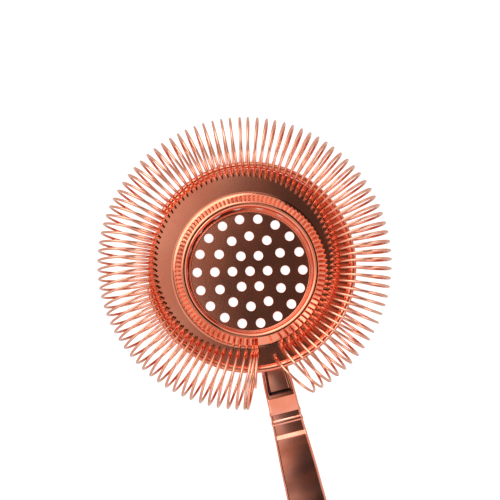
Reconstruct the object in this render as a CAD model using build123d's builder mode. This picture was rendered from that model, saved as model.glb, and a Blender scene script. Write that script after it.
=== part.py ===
from build123d import *
import math
import os

# Hawthorne strainer: a dished, perforated steel disc with a flat bar handle spot-welded under it,
# a coil spring laced through slots round the disc's rim, and an open wire ring lying inside the
# coils. It lies spring side up on a table. Millimetres, +Z up, handle along -Y. The origin is on
# the disc's axis, at the flat back of its floor. Bearings are degrees clockwise from +Y, seen from +Z.

# ---- driving dimensions ----
# Disc, pressed from sheet. The levels are those of the sheet's middle.
sheet = 1.0
rim_radius = 31.1
rim_level = 7.6
floor_level = sheet / 2
floor_radius = 19.2
crest_radius = 19.6
crest_height = 2.0
crest_foot_radius = 23.05

# Drain holes, one in the middle and three rings of 6, 12 and 18.
hole_radius = 1.45
hole_ring_step = 5.48
hole_rings = 3
hole_bearing = 102.4

# Coil spring: each turn is half a circle up over the rim and half a circle back under it. The
# ring of turns is tilted, so that it rises towards the handle.
wire = 0.8
coil_radius = 8.55
coil_ring_radius = 35.6
coil_centre = (-1.23, 2.69)
coil_tilt = 4.0
coil_rise_bearing = 156.4
table_clearance = 0.4
close_bearings = [192.3, 193.6]
first_bearing = 196.5
last_bearing = 525.5
regular_turns = 91
start_tip_bearing, start_inner_bearing = 189.2, 184.8
start_lift = 75.0
start_lean, start_decay = 8.2, 17.0
end_lean, end_decay = 7.7, 10.4
end_ring_radius = 29.9
end_drop = 5.2
slot_clearance = 0.13

# Open ring of thicker wire, resting on the rim inside the coils.
ring_wire = 2.1
ring_radius = 31.2
ring_centre = (0.34, 0.85)
ring_gap = (270.4, 316.9)

# Handle bar: distances are measured out from the disc's axis.
bar = 1.5
bar_start = 28.6
bar_start_corner = 1.2
handle_end = 110.0
bar_start_half_width = 3.9
neck_distance, neck_half_width = 36.0, 4.5
waist_distance, waist_half_width = 47.0, 4.75
palm_distance, palm_half_width = 62.0, 5.55
end_half_width = 7.0
end_corner = 5.5
bend_radius = 1.6
first_step, second_step, third_step = 2.2, 0.45, 0.2

# ---- worked out from the above ----
rim_top = rim_level + sheet / 2
rim_back = rim_level - sheet / 2
bar_level = rim_back - bar / 2
pitch = (last_bearing - first_bearing) / (regular_turns - 1)
coil_rise = coil_ring_radius * math.sin(math.radians(coil_tilt))
coil_hub = Vector(*coil_centre, table_clearance + wire / 2 + coil_radius + coil_rise)


def at(bearing, radius):
    """The point at a bearing and radius about the origin, at level 0."""
    angle = math.radians(bearing)
    return Vector(radius * math.sin(angle), radius * math.cos(angle), 0)


tilt_axis = Axis((0, 0, 0), at(coil_rise_bearing + 90, 1))
coil_up = Vector(0, 0, 1).rotate(tilt_axis, coil_tilt)


def at_coil(bearing, radius):
    """The point at a bearing and radius about the middle of the tilted ring of turns."""
    return coil_hub + at(bearing, radius).rotate(tilt_axis, coil_tilt)


def lean(bearing):
    """How far a turn swings round on its way in over the rim: both ends lean to the handle."""
    at_start = start_lean * math.exp((close_bearings[0] - bearing) / start_decay)
    at_end = end_lean * math.exp((bearing - last_bearing) / end_decay)
    return pitch / 2 - at_start + at_end


def half_turn(start, end, up):
    """Half a circle, square to the ring of turns, from one tip of the coil to the next."""
    return ThreePointArc(start, (start + end) / 2 + coil_up * (up * (end - start).length / 2), end)


def passes(start, end, level, offset):
    """Where the wire's side, this far outside its middle, comes down through a level."""
    along = (end - start).normalized()
    reach = (end - start).length / 2 + offset
    middle = (start + end) / 2
    slant = math.hypot(along.Z, coil_up.Z)
    turn = math.atan2(coil_up.Z, along.Z) + math.acos((level - middle.Z) / reach / slant)
    return middle + (along * math.cos(turn) + coil_up * math.sin(turn)) * reach


# ---- spring path: its tips, then the half turns that join them ----
bearings = close_bearings + [first_bearing + pitch * turn for turn in range(regular_turns)]
outer_tips = [at_coil(b, coil_ring_radius + coil_radius) for b in bearings]
inner_tips = [at_coil(b + lean(b), coil_ring_radius - coil_radius) for b in bearings[:-1]]
first_inner = at_coil(start_inner_bearing, coil_ring_radius - coil_radius)
last_inner = at_coil(last_bearing + lean(last_bearing), end_ring_radius)
far_starts = [first_inner] + inner_tips

# ---- disc ----
with BuildPart() as strainer_plate:
    with BuildSketch(Plane.XZ) as section:
        with BuildLine():
            FilletPolyline(
                (0, floor_level),
                (floor_radius, floor_level),
                (crest_radius, rim_level + crest_height),
                (crest_foot_radius, rim_level),
                (rim_radius, rim_level),
                radius=[0.8, 0.8, 3.5],
            )
        trace(line_width=sheet)
    revolve(axis=Axis.Z)
    with BuildSketch(Plane.XY) as drain_holes:
        Circle(hole_radius)
        for ring in range(1, hole_rings + 1):
            with PolarLocations(ring * hole_ring_step, 6 * ring, start_angle=90 - hole_bearing):
                Circle(hole_radius)
    extrude(amount=2 * sheet, mode=Mode.SUBTRACT)
    with BuildSketch(Plane.XY.offset(rim_back - sheet)) as wire_slots:
        for tip, next_tip in zip(far_starts, outer_tips):
            near = passes(tip, next_tip, rim_top, wire / 2)
            far = passes(tip, next_tip, rim_back, -wire / 2)
            length = math.hypot(far.X - near.X, far.Y - near.Y) + 2 * slot_clearance
            with Locations(((near.X + far.X) / 2, (near.Y + far.Y) / 2)):
                heading = math.degrees(math.atan2(far.Y - near.Y, far.X - near.X))
                SlotOverall(length, wire + 2 * slot_clearance, rotation=heading)
    extrude(amount=3 * sheet, mode=Mode.SUBTRACT)
strainer_plate.part.label = "strainer_plate"

# ---- handle: a side view cut to the plan outline ----
low_level = bar_level - first_step
spine = [
    (bar_start, bar_level),
    (39.5, bar_level),
    (44.6, low_level),
    (51.2, low_level),
    (52.6, low_level + second_step),
    (55.4, low_level + second_step + third_step),
    (handle_end, bar / 2),
]
with BuildPart() as handle:
    with BuildSketch(Plane.YZ) as side_view:
        with BuildLine():
            FilletPolyline(*[(-distance, level) for distance, level in spine], radius=bend_radius)
        trace(line_width=bar)
    extrude(amount=2 * end_half_width, both=True)
    with BuildSketch(Plane.XY) as plan:
        with BuildLine():
            Polyline(
                (0, -bar_start),
                (bar_start_half_width, -bar_start),
                (neck_half_width, -neck_distance),
                (waist_half_width, -waist_distance),
                (palm_half_width, -palm_distance),
                (end_half_width, -handle_end),
                (0, -handle_end),
            )
            mirror(about=Plane.YZ)
        make_face()
        fillet(plan.vertices().group_by(Axis.Y)[0], radius=end_corner)
        fillet(plan.vertices().group_by(Axis.Y)[-1], radius=bar_start_corner)
    extrude(amount=20, mode=Mode.INTERSECT)
handle.part.label = "handle"

# ---- open ring, with rounded ends ----
with BuildPart() as support_ring:
    with BuildLine(Plane.XY.offset(rim_top + ring_wire / 2)) as ring_path:
        CenterArc(ring_centre, ring_radius, 90 - ring_gap[0], 360 - (ring_gap[1] - ring_gap[0]))
    with BuildSketch(Plane(ring_path.line @ 0, z_dir=ring_path.line % 0)):
        Circle(ring_wire / 2)
    sweep()
    with Locations(ring_path.line @ 0, ring_path.line @ 1):
        Sphere(ring_wire / 2)
support_ring.part.label = "support_ring"

# ---- spring ----
with BuildPart() as coil_spring:
    with BuildLine() as coil_path:
        start_tip = at_coil(start_tip_bearing, coil_ring_radius + coil_radius)
        middle, out = (start_tip + first_inner) / 2, (start_tip - first_inner) / 2
        begin, halfway = [
            middle + out * math.cos(lift) + coil_up * (out.length * math.sin(lift))
            for lift in (math.radians(start_lift), math.radians((start_lift + 180) / 2))
        ]
        ThreePointArc(begin, halfway, first_inner)
        for tip, next_tip in zip(far_starts, outer_tips):
            half_turn(tip, next_tip, up=-1)
        for tip, next_tip in zip(outer_tips, inner_tips + [last_inner]):
            half_turn(tip, next_tip, up=1)
        Line(last_inner, last_inner - coil_up * end_drop)
    with BuildSketch(Plane(coil_path.wire() @ 0, z_dir=coil_path.wire() % 0)):
        Circle(wire / 2)
    sweep(path=coil_path.wire())
coil_spring.part.label = "coil_spring"

os.makedirs("parts", exist_ok=True)
for piece in (strainer_plate, handle, support_ring, coil_spring):
    export_step(piece.part, f"parts/{piece.part.label}.step")
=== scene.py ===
import math
import random

import bpy
from mathutils import Matrix, Vector


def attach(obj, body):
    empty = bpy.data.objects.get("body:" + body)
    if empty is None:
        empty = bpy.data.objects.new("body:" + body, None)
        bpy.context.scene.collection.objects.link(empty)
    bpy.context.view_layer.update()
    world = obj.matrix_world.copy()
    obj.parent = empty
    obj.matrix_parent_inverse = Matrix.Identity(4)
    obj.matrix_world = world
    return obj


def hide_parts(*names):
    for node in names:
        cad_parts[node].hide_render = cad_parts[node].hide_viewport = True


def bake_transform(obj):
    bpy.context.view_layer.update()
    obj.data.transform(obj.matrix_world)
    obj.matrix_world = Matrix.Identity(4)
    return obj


# Hawthorne strainer, lying spring side up. The script's own sizes are millimetres, in the frame of
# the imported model: +Z up, handle along -Y, origin on the disc's axis at the flat back of its floor.
# Bearings are degrees clockwise from +Y, seen from +Z. Meshes are written in metres.
MM = 0.001
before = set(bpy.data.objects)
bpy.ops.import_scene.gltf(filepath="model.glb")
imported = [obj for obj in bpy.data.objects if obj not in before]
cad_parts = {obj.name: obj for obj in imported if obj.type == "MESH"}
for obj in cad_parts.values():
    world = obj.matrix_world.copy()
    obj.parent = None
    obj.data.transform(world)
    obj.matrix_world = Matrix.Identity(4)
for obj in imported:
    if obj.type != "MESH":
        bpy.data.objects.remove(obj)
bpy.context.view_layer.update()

# ---- disc ----
SHEET = 1.0
RIM_RADIUS = 31.1
RIM_LEVEL = 7.6
FLOOR_LEVEL = SHEET / 2
FLOOR_RADIUS = 19.2
CREST_RADIUS = 19.6
CREST_HEIGHT = 2.0
CREST_FOOT_RADIUS = 23.05
SECTION_BENDS = [0.8, 0.8, 3.5]
RIM_EDGE = 0.25
HOLE_RADIUS = 1.45
HOLE_FLARE = 0.08
HOLE_TURN = 0.3  # keeps the holes' corners off the sheet's own edges
HOLE_RING_STEP = 5.48
HOLE_RINGS = 3
HOLE_BEARING = 102.4
CUT_BEYOND = 0.5
RIM_TOP = RIM_LEVEL + SHEET / 2
RIM_BACK = RIM_LEVEL - SHEET / 2

# ---- spring ----
WIRE = 0.8
COIL_RADIUS = 8.55
COIL_RING_RADIUS = 35.6
COIL_CENTRE = (-1.23, 2.69)
COIL_TILT = math.radians(4.0)
COIL_RISE_BEARING = 156.4
TABLE_CLEARANCE = 0.4
CLOSE_BEARINGS = [192.3, 193.6]
FIRST_BEARING = 196.5
LAST_BEARING = 525.5
REGULAR_TURNS = 91
START_TIP_BEARING, START_INNER_BEARING = 189.2, 184.8
START_LIFT = 75.0
START_LEAN, START_DECAY = 8.2, 17.0
END_LEAN, END_DECAY = 7.7, 10.4
END_RING_RADIUS = 29.9
END_DROP = 5.2
END_TIP, TIP_DECAY = 10.0, 45.0
SLOT_CLEARANCE = 0.13
PITCH = (LAST_BEARING - FIRST_BEARING) / (REGULAR_TURNS - 1)
UNEVEN_DEGREES = 0.22
STEPS_PER_HALF_TURN = 22
WIRE_SIDES = 12

# ---- open ring ----
RING_WIRE = 2.1
RING_RADIUS = 31.2
RING_CENTRE = (0.34, 0.85)
RING_GAP = (270.4, 316.9)

# ---- handle: distances are from the disc's axis, and the side view is the line of the bar's middle ----
BAR = 1.5
BAR_START = 28.6
HANDLE_END = 110.0
BAR_HALF_WIDTHS = [(BAR_START, 3.9), (36.0, 4.5), (47.0, 4.75), (62.0, 5.55), (HANDLE_END, 7.0)]
END_CORNER = 5.5
START_CORNER = 1.2
END_SHORTEN = 0.06
FIRST_STEP, SECOND_STEP, THIRD_STEP = 2.2, 0.45, 0.2
CREASE, RIDGE = 0.12, 0.22
BAR_LEVEL = RIM_BACK - BAR / 2
LOW_LEVEL = BAR_LEVEL - FIRST_STEP
SIDE_VIEW = [
    (BAR_START, BAR_LEVEL),
    (39.5, BAR_LEVEL),
    (41.6, LOW_LEVEL + 1.22),
    (43.7, LOW_LEVEL + 0.4),
    (44.6, LOW_LEVEL - CREASE),
    (46.6, LOW_LEVEL),
    (47.2, LOW_LEVEL + RIDGE),
    (47.9, LOW_LEVEL),
    (51.2, LOW_LEVEL),
    (52.6, LOW_LEVEL + SECOND_STEP),
    (55.4, LOW_LEVEL + SECOND_STEP + THIRD_STEP),
    (HANDLE_END - END_SHORTEN, BAR / 2),
]
SIDE_VIEW_BENDS = [1.6, 2.0, 1.0, 0.8, 0.8, 0.6, 0.8, 1.2, 1.2, 1.6]
BAR_EDGE = 0.5
PANEL_FROM, PANEL_TO = 30.0, 38.5
PANEL_BORDER = 1.1
PANEL_DEPTH = 0.22
PANEL_SLOPE = 0.45
# Painted shade: a near-black band in the bar's colour round the stamped panel, standing in for the shade of
# the groove there.
SEAM_SHADE_COLOUR = (0.012, 0.005, 0.004, 1)
SEAM_END, SEAM_END_HALF_WIDTH = 38.15, 0.65
SEAM_SIDE, SEAM_SIDE_HALF_WIDTH, SEAM_TAPER = 0.75, 0.33, 0.066
SEAM_SOFT = 0.3
CROWN, CROWN_START, CROWN_RUN_IN = 0.09, 31.5, 2.0
BULGES, BULGE, BULGE_LENGTH = (44.6, 47.3), 0.2, 0.5

# ---- view, whose up is this bearing, and floor ----
UP_BEARING = 13.9
CAMERA_LEAN = 4.2
CAMERA_DISTANCE = 350.0
VIEW_WIDTH = 153.0
AIM_ABOVE_CENTRE = 6.1
FLOOR_GAP = 0.02
FLOOR_HALF_SIZE = 3000.0

# ---- brightness of the room that the metal reflects ----
OVERHEAD_DARK = 0.075
BESIDE_DARK = 0.95
CEILING = 1.12
WALLS = 0.78
DIM_RING = 0.3
WEDGE_MIDDLE = 0.056
UPPER_EDGE_SLOPE, LOWER_EDGE_SLOPE = 0.56, -0.33
# Each edge fades from its first number to its second, in tangents of angles off the zenith.
WEDGE_EDGE, BESIDE_EDGE = (-0.022, -0.115), (-0.1, -0.4)
RIGHT_EDGE, LOW_EDGE = (0.7, 1.0), (-0.45, -0.8)
# These fade in cosines of the angle off the zenith.
INTO_RING, OUT_OF_RING = (0.97, 0.94), (0.86, 0.8)
WALL_TO_CEILING = (0.05, 0.4)
# Name, angles off the zenith to the picture's right and up, distance, size and power.
SOFTBOXES = [("key", -34, 38, 700, 600, 2.4), ("low_right", 50, -40, 900, 400, 1.0)]

random.seed(7)


def at(bearing, radius, level=0.0):
    """The point at a bearing and radius about the disc's axis."""
    angle = math.radians(bearing)
    return Vector((radius * math.sin(angle), radius * math.cos(angle), level))


def smooth_step(x):
    x = min(max(x, 0.0), 1.0)
    return x * x * (3 - 2 * x)


def rounded_line(corners, radii, arc_step=8.0, spacing=1.0, margin=0.12):
    """Points of a polyline with filleted corners, each with the unit normal on its left."""
    line = [Vector(c) for c in corners]
    samples = []

    def straight(a, b):
        along = (b - a).normalized()
        normal = Vector((-along.y, along.x))
        length = (b - a).length
        edge = min(margin, length / 4)
        count = max(1, round((length - 2 * edge) / spacing))
        stops = [0, edge] + [edge + (length - 2 * edge) * i / count for i in range(1, count + 1)] + [length]
        samples.extend((a + along * s, normal) for s in stops)

    start = line[0]
    for before, corner, after, radius in zip(line, line[1:], line[2:], radii):
        way_in, way_out = (corner - before).normalized(), (after - corner).normalized()
        turn = way_in.angle_signed(way_out)
        cut = radius * math.tan(abs(turn) / 2)
        straight(start, corner - way_in * cut)
        side = -1 if turn > 0 else 1
        normal_in = Vector((-way_in.y, way_in.x))
        hub = corner - way_in * cut + normal_in * radius * side
        steps = max(3, math.ceil(math.degrees(abs(turn)) / arc_step))
        for i in range(1, steps):
            heading = -turn * i / steps
            cosine, sine = math.cos(heading), math.sin(heading)
            normal = Vector(
                (normal_in.x * cosine - normal_in.y * sine, normal_in.x * sine + normal_in.y * cosine)
            )
            samples.append((hub - normal * radius * side, normal))
        start = corner + way_out * cut
    straight(start, line[-1])
    return samples


def new_piece(name, points, faces, sharp_angle=35.0):
    """A smooth-shaded mesh object from points in millimetres."""
    mesh = bpy.data.meshes.new(name)
    mesh.from_pydata([tuple(Vector(p) * MM) for p in points], [], faces)
    mesh.validate()
    mesh.shade_smooth()
    mesh.set_sharp_from_angle(angle=math.radians(sharp_angle))
    piece = bpy.data.objects.new(name, mesh)
    bpy.context.scene.collection.objects.link(piece)
    return piece


def apply_modifiers(piece):
    """Replaces a piece's mesh with its modified mesh."""
    graph = bpy.context.evaluated_depsgraph_get()
    mesh = bpy.data.meshes.new_from_object(piece.evaluated_get(graph))
    piece.modifiers.clear()
    piece.data = mesh


def grid_faces(rows, columns):
    """Quads between the rows of points of a closed tube."""
    faces = []
    for row in range(rows - 1):
        for column in range(columns):
            here, beside = row * columns + column, row * columns + (column + 1) % columns
            faces.append((here, beside, beside + columns, here + columns))
    return faces


def tube(path, radius, sides):
    """Points and faces of a round tube along a path, with domed ends."""
    tangents = [
        (path[min(i + 1, len(path) - 1)] - path[max(i - 1, 0)]).normalized() for i in range(len(path))
    ]
    across = tangents[0].orthogonal().normalized()
    rings = []
    for point, tangent in zip(path, tangents):
        across = (across - tangent * across.dot(tangent)).normalized()
        rings.append((point, across.copy(), tangent.cross(across), tangent))
    first, last = rings[0], rings[-1]
    dome = [math.radians(a) for a in (80, 60, 35)]
    starts = [(first[0] - first[3] * radius * math.sin(a), *first[1:3], math.cos(a)) for a in dome]
    ends = [(last[0] + last[3] * radius * math.sin(a), *last[1:3], math.cos(a)) for a in reversed(dome)]
    body = [(point, u, v, 1.0) for point, u, v, _ in rings]
    points = []
    for point, u, v, share in starts + body + ends:
        for side in range(sides):
            angle = 2 * math.pi * side / sides
            points.append(point + (u * math.cos(angle) + v * math.sin(angle)) * radius * share)
    rows = len(points) // sides
    faces = grid_faces(rows, sides)
    faces.append(tuple(reversed(range(sides))))
    faces.append(tuple(range((rows - 1) * sides, rows * sides)))
    return points, faces


# ---- spring path: its tips, then the half turns that join them ----
tilt = Matrix.Rotation(COIL_TILT, 3, at(COIL_RISE_BEARING + 90, 1))
coil_up = tilt @ Vector((0, 0, 1))
coil_level = TABLE_CLEARANCE + WIRE / 2 + COIL_RADIUS + COIL_RING_RADIUS * math.sin(COIL_TILT)
coil_hub = Vector((*COIL_CENTRE, coil_level))
inner_radius, outer_radius = COIL_RING_RADIUS - COIL_RADIUS, COIL_RING_RADIUS + COIL_RADIUS


def at_coil(bearing, radius):
    """The point at a bearing and radius about the middle of the tilted ring of turns."""
    return coil_hub + tilt @ at(bearing, radius)


def lean(bearing):
    """How far a turn swings round on its way in over the rim: both ends lean to the handle."""
    at_start = START_LEAN * math.exp((CLOSE_BEARINGS[0] - bearing) / START_DECAY)
    at_end = END_LEAN * math.exp((bearing - LAST_BEARING) / END_DECAY)
    return PITCH / 2 - at_start + at_end


def lift_direction(start, end, up, bearing):
    """Which way a half turn bulges. The last turns tip over to the handle, the others stand square."""
    over = math.radians(END_TIP * math.exp((bearing - LAST_BEARING) / TIP_DECAY))
    sideways = coil_up.cross((end - start).normalized())
    return coil_up * up * math.cos(over) + sideways * math.sin(over)


def half_turn(start, end, up, bearing):
    """Half a circle from one tip of the coil to the next, without its last point."""
    middle, half = (start + end) / 2, (end - start) / 2
    lift = lift_direction(start, end, up, bearing) * half.length
    turns = [math.pi * i / STEPS_PER_HALF_TURN for i in range(STEPS_PER_HALF_TURN)]
    return [middle - half * math.cos(turn) + lift * math.sin(turn) for turn in turns]


tip_bearings = CLOSE_BEARINGS + [FIRST_BEARING + PITCH * turn for turn in range(REGULAR_TURNS)]
plain_outer_tips = [at_coil(b, outer_radius) for b in tip_bearings]
outer_tips = [at_coil(b + random.uniform(-1, 1) * UNEVEN_DEGREES, outer_radius) for b in tip_bearings]
inner_tips = [at_coil(b + lean(b), inner_radius) for b in tip_bearings[:-1]]
first_inner = at_coil(START_INNER_BEARING, inner_radius)
last_inner = at_coil(LAST_BEARING + lean(LAST_BEARING), END_RING_RADIUS)
far_starts = [first_inner] + inner_tips


def spring_path():
    """The wire from its cut end, near the top of the first turn, to the end that drops to the rim."""
    start_tip = at_coil(START_TIP_BEARING, outer_radius)
    first_step = round(START_LIFT / 180 * STEPS_PER_HALF_TURN)
    path = half_turn(start_tip, first_inner, 1, START_TIP_BEARING)[first_step:]
    for bearing, start, tip, end in zip(tip_bearings, far_starts, outer_tips, inner_tips + [last_inner]):
        path += half_turn(start, tip, -1, bearing) + half_turn(tip, end, 1, bearing)
    return path + [last_inner - coil_up * END_DROP * share for share in (0, 0.25, 0.5, 0.75, 1)]


# ---- pieces ----
def hole_cutter(x, y):
    """A round cutter whose waist is the hole and whose ends flare over the sheet's two faces."""
    mouth = HOLE_RADIUS + HOLE_FLARE
    profile = [(mouth + HOLE_FLARE, -CUT_BEYOND), (mouth, -0.02)]
    for angle in (90, 65, 40, 20, 0):
        a = math.radians(angle)
        profile.append((mouth - HOLE_FLARE * math.cos(a), HOLE_FLARE * (1 - math.sin(a))))
    profile += [(radius, SHEET - height) for radius, height in reversed(profile)]
    sides = 32
    turns = [2 * math.pi * (i + HOLE_TURN) / sides for i in range(sides)]
    points = [(x + r * math.cos(turn), y + r * math.sin(turn), z) for r, z in profile for turn in turns]
    faces = grid_faces(len(profile), sides)
    faces += [tuple(reversed(range(sides))), tuple(range(len(points) - sides, len(points)))]
    return points, faces


def passes(start, end, bearing, level, offset):
    """Where the wire's side, this far outside its middle, comes down through a level."""
    along = (end - start).normalized()
    down = lift_direction(start, end, -1, bearing)
    reach = (end - start).length / 2 + offset
    middle = (start + end) / 2
    slant = math.hypot(along.z, down.z)
    turn = math.atan2(-down.z, along.z) + math.acos((level - middle.z) / reach / slant)
    return middle + (along * math.cos(turn) - down * math.sin(turn)) * reach


def slot_cutter(start, tip, bearing):
    """A straight slot with round ends, where a far half turn passes through the rim."""
    near = passes(start, tip, bearing, RIM_TOP, WIRE / 2)
    far = passes(start, tip, bearing, RIM_BACK, -WIRE / 2)
    near.z = far.z = 0.0
    along = (far - near).normalized()
    side = Vector((-along.y, along.x, 0))
    half_width = WIRE / 2 + SLOT_CLEARANCE
    far_end = (far - along * WIRE / 2, (90, 45, 0, -45, -90))
    near_end = (near + along * WIRE / 2, (-90, -135, 180, 135, 90))
    outline = []
    for centre, angles in (far_end, near_end):
        for angle in angles:
            a = math.radians(angle)
            outline.append(centre + (along * math.cos(a) + side * math.sin(a)) * half_width)
    outline.reverse()
    count = len(outline)
    points = [(p.x, p.y, z) for z in (RIM_BACK - CUT_BEYOND, RIM_TOP + CUT_BEYOND) for p in outline]
    faces = [tuple(reversed(face)) for face in grid_faces(2, count)]
    faces += [tuple(range(count)), tuple(reversed(range(count, 2 * count)))]
    return points, faces


def join(parts):
    """One list of points and faces from several."""
    points, faces = [], []
    for part_points, part_faces in parts:
        offset = len(points)
        points += part_points
        faces += [tuple(i + offset for i in face) for face in part_faces]
    return points, faces


def cut(piece, name, parts):
    cutter = new_piece(name, *join(parts))
    cutter.hide_render = True
    boolean = piece.modifiers.new(name, "BOOLEAN")
    boolean.operation = "DIFFERENCE"
    boolean.solver = "EXACT"
    boolean.object = cutter
    return cutter


def make_disc():
    section = [
        (0.0, FLOOR_LEVEL),
        (FLOOR_RADIUS, FLOOR_LEVEL),
        (CREST_RADIUS, RIM_LEVEL + CREST_HEIGHT),
        (CREST_FOOT_RADIUS, RIM_LEVEL),
        (RIM_RADIUS - RIM_EDGE, RIM_LEVEL),
    ]
    middle = rounded_line(section, SECTION_BENDS, arc_step=7.0, spacing=2.5)[1:]
    top = [p + n * SHEET / 2 for p, n in middle]
    bottom = [p - n * SHEET / 2 for p, n in middle]
    edge = []
    for angle in (75, 50, 25, 0):
        a = math.radians(angle)
        edge.append((RIM_RADIUS - RIM_EDGE * (1 - math.cos(a)), RIM_TOP - RIM_EDGE * (1 - math.sin(a))))
    edge += [(x, 2 * RIM_LEVEL - z) for x, z in reversed(edge)]
    profile = [tuple(p) for p in top] + edge + [tuple(p) for p in reversed(bottom)]
    segments = 288
    points = [
        (r * math.sin(2 * math.pi * i / segments), r * math.cos(2 * math.pi * i / segments), z)
        for r, z in profile
        for i in range(segments)
    ]
    faces = grid_faces(len(profile), segments)
    last_ring = (len(profile) - 1) * segments
    faces.append(tuple(reversed(range(segments))))
    faces.append(tuple(range(last_ring, last_ring + segments)))
    disc = new_piece("disc_polished", points, faces)
    places = [(0.0, 0.0)]
    for ring in range(1, HOLE_RINGS + 1):
        for i in range(6 * ring):
            place = at(HOLE_BEARING + i * 60 / ring, ring * HOLE_RING_STEP)
            places.append((place.x, place.y))
    slots = [slot_cutter(*turn) for turn in zip(far_starts, plain_outer_tips, tip_bearings)]
    cutters = [
        cut(disc, "holes", [hole_cutter(x, y) for x, y in places]),
        cut(disc, "even_slots", slots[0::2]),
        cut(disc, "odd_slots", slots[1::2]),
    ]
    apply_modifiers(disc)
    for cutter in cutters:
        bpy.data.objects.remove(cutter)
    return disc


def make_ring():
    start, end = RING_GAP[1], 360 + RING_GAP[0]
    steps = 240
    hub = Vector((*RING_CENTRE, RIM_TOP + RING_WIRE / 2))
    path = [hub + at(start + (end - start) * i / steps, RING_RADIUS) for i in range(steps + 1)]
    return new_piece("open_ring", *tube(path, RING_WIRE / 2, 20))


def bar_half_width(distance):
    """Half the bar's width at a distance from the disc's axis, with its bulges at the bends."""
    for (start, start_width), (end, end_width) in zip(BAR_HALF_WIDTHS, BAR_HALF_WIDTHS[1:]):
        if distance >= start:
            width = start_width + (end_width - start_width) * (distance - start) / (end - start)
    for bend in BULGES:
        width += BULGE * math.exp(-(((distance - bend) / BULGE_LENGTH) ** 2))
    into_start, into_end = BAR_START + START_CORNER - distance, distance - (HANDLE_END - END_CORNER)
    for into_corner, radius in ((into_start, START_CORNER), (into_end, END_CORNER)):
        if into_corner > 0:
            width -= radius - math.sqrt(max(radius**2 - into_corner**2, 0.0))
    return width


def panel_sink(across, distance, half_width):
    """How deep the stamped panel at the bar's root lies under its top face."""
    from_side = half_width - PANEL_BORDER - abs(across)
    from_end = min(distance - PANEL_FROM, PANEL_TO - distance)
    inside = min(from_side, from_end)
    corner = PANEL_SLOPE * 2
    if from_side < corner and from_end < corner:
        inside = corner - math.hypot(corner - from_side, corner - from_end)
    return PANEL_DEPTH * smooth_step(inside / PANEL_SLOPE)


def make_handle():
    stations = rounded_line(SIDE_VIEW, SIDE_VIEW_BENDS, arc_step=3.0, spacing=0.16, margin=0.08)
    columns = 36
    edge_steps = [math.radians(a) for a in (75, 45, 15)]
    points = []
    caps = (90, 60, 30)
    rows = [(stations[0], a) for a in caps] + [(s, 0) for s in stations[1:-1]]
    rows += [(stations[-1], a) for a in reversed(caps)]
    for (place, normal), round_over in rows:
        shrink = BAR_EDGE * (1 - math.cos(math.radians(round_over)))
        half_thick = BAR / 2 - shrink
        distance = place.x
        half_width = bar_half_width(distance) - shrink
        flat = half_width - BAR_EDGE
        outline = []
        for i in range(columns + 1):
            across = flat * (1 - 2 * i / columns)
            sink = panel_sink(across, distance, half_width) if round_over == 0 else 0
            sink += CROWN * (across / flat) ** 2 * smooth_step((distance - CROWN_START) / CROWN_RUN_IN)
            outline.append((across, half_thick - sink))
        low = half_thick - BAR_EDGE
        corner = [(flat + BAR_EDGE * math.cos(a), low + BAR_EDGE * math.sin(a)) for a in edge_steps]
        outline += [(-x, z) for x, z in corner]
        outline += [(-x, -z) for x, z in reversed(corner)]
        outline += [(-flat * (1 - 2 * i / columns), -half_thick) for i in range(columns + 1)]
        outline += [(x, -z) for x, z in corner]
        outline += reversed(corner)
        for across, height in outline:
            points.append((across, -(place.x + normal.x * height), place.y + normal.y * height))
    count = len(points) // len(rows)
    faces = grid_faces(len(rows), count)
    faces.append(tuple(reversed(range(count))))
    faces.append(tuple(range(len(points) - count, len(points))))
    return new_piece("bar_handle", points, faces)


def make_spring():
    return new_piece("spring_wire", *tube(spring_path(), WIRE / 2, WIRE_SIDES), sharp_angle=60)


# ---- materials ----
class Tree:
    """A node tree, with short ways to add and link nodes."""

    def __init__(self, tree):
        self.tree = tree

    def add(self, kind, **values):
        node = self.tree.nodes.new(kind)
        for name, value in values.items():
            setattr(node, name, value)
        return node

    def link(self, source, target):
        self.tree.links.new(source, target)

    def feed(self, value, target):
        """Sets an input to a number, or links it to another node's output."""
        if isinstance(value, (int, float)):
            target.default_value = value
        else:
            self.link(value, target)

    def math(self, operation, *values):
        node = self.add("ShaderNodeMath", operation=operation)
        for value, target in zip(values, node.inputs):
            self.feed(value, target)
        return node.outputs["Value"]

    def ramp(self, source, low, high, to_low=0.0, to_high=1.0, shape="LINEAR"):
        node = self.add("ShaderNodeMapRange", interpolation_type=shape)
        values = {"Value": source, "From Min": low, "From Max": high, "To Min": to_low, "To Max": to_high}
        for name, value in values.items():
            self.feed(value, node.inputs[name])
        return node.outputs["Result"]


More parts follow.
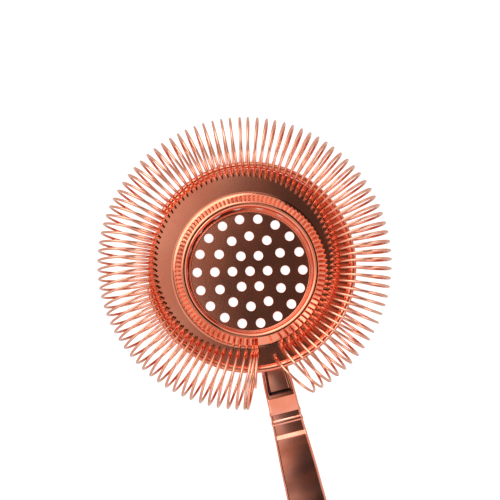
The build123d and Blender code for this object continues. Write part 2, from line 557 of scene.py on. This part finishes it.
class Nodes(Tree):
    """A new material's node tree."""

    def __init__(self, name):
        self.material = bpy.data.materials.new(name)
        self.material.use_nodes = True
        super().__init__(self.material.node_tree)
        self.shader = self.tree.nodes["Principled BSDF"]
        self.place = self.add("ShaderNodeTexCoord").outputs["Object"]

    def scaled(self, scale):
        mapping = self.add("ShaderNodeMapping")
        mapping.inputs["Scale"].default_value = scale
        self.link(self.place, mapping.inputs["Vector"])
        return mapping.outputs["Vector"]

    def noise(self, scale, detail=3.0, roughness=0.5, stretch=(1, 1, 1)):
        node = self.add("ShaderNodeTexNoise")
        self.link(self.scaled(stretch), node.inputs["Vector"])
        node.inputs["Scale"].default_value = scale
        node.inputs["Detail"].default_value = detail
        node.inputs["Roughness"].default_value = roughness
        return node.outputs["Fac"]

    def blend(self, share, first, second):
        node = self.add("ShaderNodeMix", data_type="RGBA")
        self.link(share, node.inputs["Factor"])
        node.inputs["A"].default_value = (*first, 1)
        node.inputs["B"].default_value = (*second, 1)
        return node.outputs["Result"]

    def bump(self, height, strength, distance):
        node = self.add("ShaderNodeBump")
        node.inputs["Strength"].default_value = strength
        node.inputs["Distance"].default_value = distance
        self.link(height, node.inputs["Height"])
        self.link(node.outputs["Normal"], self.shader.inputs["Normal"])
        return node

    def paint_seam_shade(self):
        """Paints shade into the colour: blackens a narrow band round the stamped panel at the bar's root,
        on its top face only, as painted shade of the groove there.
        """
        split = self.add("ShaderNodeSeparateXYZ")
        self.link(self.place, split.inputs["Vector"])
        along = split.outputs["Y"]
        across = self.math("MULTIPLY_ADD", along, SEAM_TAPER, self.math("ABSOLUTE", split.outputs["X"]))

        def near(value, middle, half_width):
            off = self.math("ABSOLUTE", self.math("SUBTRACT", value, middle * MM))
            return self.ramp(off, half_width * MM, (half_width - SEAM_SOFT) * MM)

        panel_middle, panel_half_length = (PANEL_FROM + PANEL_TO) / 2, (PANEL_TO - PANEL_FROM) / 2
        outside = SEAM_SIDE + SEAM_SIDE_HALF_WIDTH
        within = self.ramp(across, outside * MM, (outside - SEAM_SOFT) * MM)
        end = self.math("MULTIPLY", near(along, -SEAM_END, SEAM_END_HALF_WIDTH), within)
        beside = near(across, SEAM_SIDE, SEAM_SIDE_HALF_WIDTH)
        side = self.math("MULTIPLY", beside, near(along, -panel_middle, panel_half_length))
        colour = self.shader.inputs["Base Color"].links[0].from_socket
        dark = self.add("ShaderNodeMix", data_type="RGBA")
        on_top = self.ramp(split.outputs["Z"], BAR_LEVEL * MM, (BAR_LEVEL + SEAM_SOFT) * MM)
        seam_shade = self.math("MULTIPLY", self.math("MAXIMUM", end, side), on_top)
        self.link(seam_shade, dark.inputs["Factor"])
        self.link(colour, dark.inputs["A"])
        # The painted shade's colour, near black.
        dark.inputs["B"].default_value = SEAM_SHADE_COLOUR
        self.link(dark.outputs["Result"], self.shader.inputs["Base Color"])


COPPER = (0.84, 0.29, 0.18)
DEEP_COPPER = (0.78, 0.235, 0.135)
BAR_COPPER = (0.82, 0.33, 0.24)
WIRE_COPPER = (0.86, 0.42, 0.29)
DEEP_WIRE_COPPER = (0.82, 0.35, 0.23)


def metal(name, colours, patch_scale, roughness):
    """Metal whose colour and roughness drift between two values, in patches."""
    nodes = Nodes(name)
    nodes.shader.inputs["Metallic"].default_value = 1.0
    patches = nodes.noise(patch_scale, detail=4)
    nodes.link(nodes.blend(nodes.ramp(patches, 0.35, 0.65), *colours), nodes.shader.inputs["Base Color"])
    nodes.link(nodes.ramp(patches, 0.3, 0.7, *roughness), nodes.shader.inputs["Roughness"])
    return nodes


def polished_sheet():
    nodes = metal("polished copper sheet", (COPPER, DEEP_COPPER), 90.0, (0.07, 0.13))
    nodes.bump(nodes.noise(2600.0, detail=2, roughness=0.6), 0.14, 0.00003)
    return nodes.material


def brushed_bar():
    nodes = metal("brushed copper bar", (BAR_COPPER, DEEP_COPPER), 120.0, (0.12, 0.2))
    lines = nodes.noise(900.0, detail=5, roughness=0.65, stretch=(0.03, 1, 1))
    waves = nodes.bump(nodes.noise(55.0, detail=2, stretch=(0.6, 1, 1)), 1.0, 0.0005)
    brushing = nodes.bump(lines, 0.22, 0.00004)
    nodes.link(waves.outputs["Normal"], brushing.inputs["Normal"])
    # Paints shade: blackens the groove round the stamped panel in the base colour.
    nodes.paint_seam_shade()
    return nodes.material


def polished_ring():
    return metal("polished copper ring", (COPPER, DEEP_COPPER), 150.0, (0.1, 0.17)).material


def spring_wire():
    return metal("copper spring wire", (WIRE_COPPER, DEEP_WIRE_COPPER), 200.0, (0.07, 0.12)).material


def finish_piece(piece, material, node):
    piece.data.materials.append(material)
    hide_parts(node)


disc = make_disc()
finish_piece(disc, polished_sheet(), "strainer_plate")
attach(disc, "strainer")
ring = make_ring()
finish_piece(ring, polished_ring(), "support_ring")
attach(ring, "strainer")
handle = make_handle()
finish_piece(handle, brushed_bar(), "handle")
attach(handle, "strainer")
spring = make_spring()
finish_piece(spring, spring_wire(), "coil_spring")
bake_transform(spring)

# ---- stage ----
picture_up = at(UP_BEARING, 1)
picture_right = at(UP_BEARING + 90, 1)


def make_floor():
    """A white floor. Glossy rays pass it by, so that the metal reflects a room of grey walls."""
    signs = ((-1, -1), (1, -1), (1, 1), (-1, 1))
    corners = [(x * FLOOR_HALF_SIZE, y * FLOOR_HALF_SIZE, -FLOOR_GAP) for x, y in signs]
    floor = new_piece("floor", corners, [(0, 1, 2, 3)])
    floor.visible_glossy = False
    nodes = Nodes("pale floor")
    nodes.shader.inputs["Roughness"].default_value = 0.9
    nodes.shader.inputs["Base Color"].default_value = (0.5, 0.5, 0.5, 1)
    nodes.shader.inputs["Emission Color"].default_value = (1, 1, 1, 1)
    nodes.shader.inputs["Emission Strength"].default_value = 0.85
    floor.data.materials.append(nodes.material)


class Sky(Tree):
    """The world's node tree, which works out its brightness from the direction."""

    def __init__(self):
        world = bpy.data.worlds.new("studio")
        bpy.context.scene.world = world
        world.use_nodes = True
        super().__init__(world.node_tree)
        self.direction = self.add("ShaderNodeTexCoord").outputs["Generated"]

    def along(self, vector):
        node = self.add("ShaderNodeVectorMath", operation="DOT_PRODUCT")
        self.link(self.direction, node.inputs[0])
        node.inputs[1].default_value = vector
        return node.outputs["Value"]

    def step(self, *values):
        return self.ramp(*values, shape="SMOOTHSTEP")


def make_world():
    """A dim room. Overhead a dark wedge opens to the picture's right, in a bright ceiling.

    The ceiling is dimmer in a ring from about 15 to 35 degrees off the zenith. The camera sees
    plain white.
    """
    sky = Sky()
    height = sky.along((0, 0, 1))
    steep = sky.math("MAXIMUM", height, WALL_TO_CEILING[0])
    right = sky.math("DIVIDE", sky.along(tuple(picture_right)), steep)
    above = sky.math("SUBTRACT", sky.math("DIVIDE", sky.along(tuple(picture_up)), steep), WEDGE_MIDDLE)
    upper_edge = sky.math("MULTIPLY", above, UPPER_EDGE_SLOPE)
    lower_edge = sky.math("MULTIPLY", above, LOWER_EDGE_SLOPE)
    wedge = sky.math("SUBTRACT", right, sky.math("MAXIMUM", upper_edge, lower_edge))
    left_edge = sky.step(wedge, *WEDGE_EDGE, OVERHEAD_DARK, BESIDE_DARK)
    left_side = sky.math("ADD", left_edge, sky.step(wedge, *BESIDE_EDGE, 0.0, CEILING - BESIDE_DARK))
    right_side = sky.step(right, *RIGHT_EDGE, OVERHEAD_DARK, CEILING)
    low_side = sky.step(above, *LOW_EDGE, OVERHEAD_DARK, CEILING)
    ceiling = sky.math("MAXIMUM", left_side, sky.math("MAXIMUM", right_side, low_side))
    into_ring = sky.step(height, *INTO_RING, 1.0, DIM_RING)
    dimming = sky.math("ADD", into_ring, sky.step(height, *OUT_OF_RING, 0.0, 1 - DIM_RING))
    strength = sky.step(height, *WALL_TO_CEILING, WALLS, sky.math("MULTIPLY", ceiling, dimming))
    seen = sky.add("ShaderNodeLightPath").outputs["Is Camera Ray"]
    background = sky.tree.nodes["Background"]
    sky.link(sky.math("MAXIMUM", strength, seen), background.inputs["Strength"])
    background.inputs["Color"].default_value = (1, 0.99, 0.98, 1)


def softbox(name, right, up, distance, size, power):
    """A square light over the object, at angles off the zenith to the picture's right and up."""
    light = bpy.data.lights.new(name, "AREA")
    light.size = size * MM
    light.energy = power
    lamp = bpy.data.objects.new(name, light)
    aim = Vector((0, 0, RIM_TOP))
    offset = picture_right * math.tan(math.radians(right)) + picture_up * math.tan(math.radians(up))
    towards = (offset + Vector((0, 0, 1))).normalized()
    lamp.location = (aim + towards * distance) * MM
    lamp.rotation_euler = towards.to_track_quat("Z", "Y").to_euler()
    bpy.context.scene.collection.objects.link(lamp)


def make_camera():
    camera = bpy.data.cameras.new("camera")
    camera.sensor_width = 36.0
    camera.lens = camera.sensor_width * CAMERA_DISTANCE / VIEW_WIDTH
    camera.clip_start, camera.clip_end = 0.01, 20.0
    holder = bpy.data.objects.new("camera", camera)
    lean_angle = math.radians(CAMERA_LEAN)
    back = Vector((0, 0, math.cos(lean_angle))) - picture_up * math.sin(lean_angle)
    aim = picture_up * AIM_ABOVE_CENTRE + Vector((0, 0, RIM_LEVEL))
    up = (picture_up - back * picture_up.dot(back)).normalized()
    right = up.cross(back)
    turn = Matrix((right, up, back)).transposed().to_4x4()
    holder.matrix_world = Matrix.Translation((aim + back * CAMERA_DISTANCE) * MM) @ turn
    bpy.context.scene.collection.objects.link(holder)
    bpy.context.scene.camera = holder


make_floor()
make_world()
for box in SOFTBOXES:
    softbox(*box)
make_camera()
bpy.context.scene.view_settings.view_transform = "Standard"
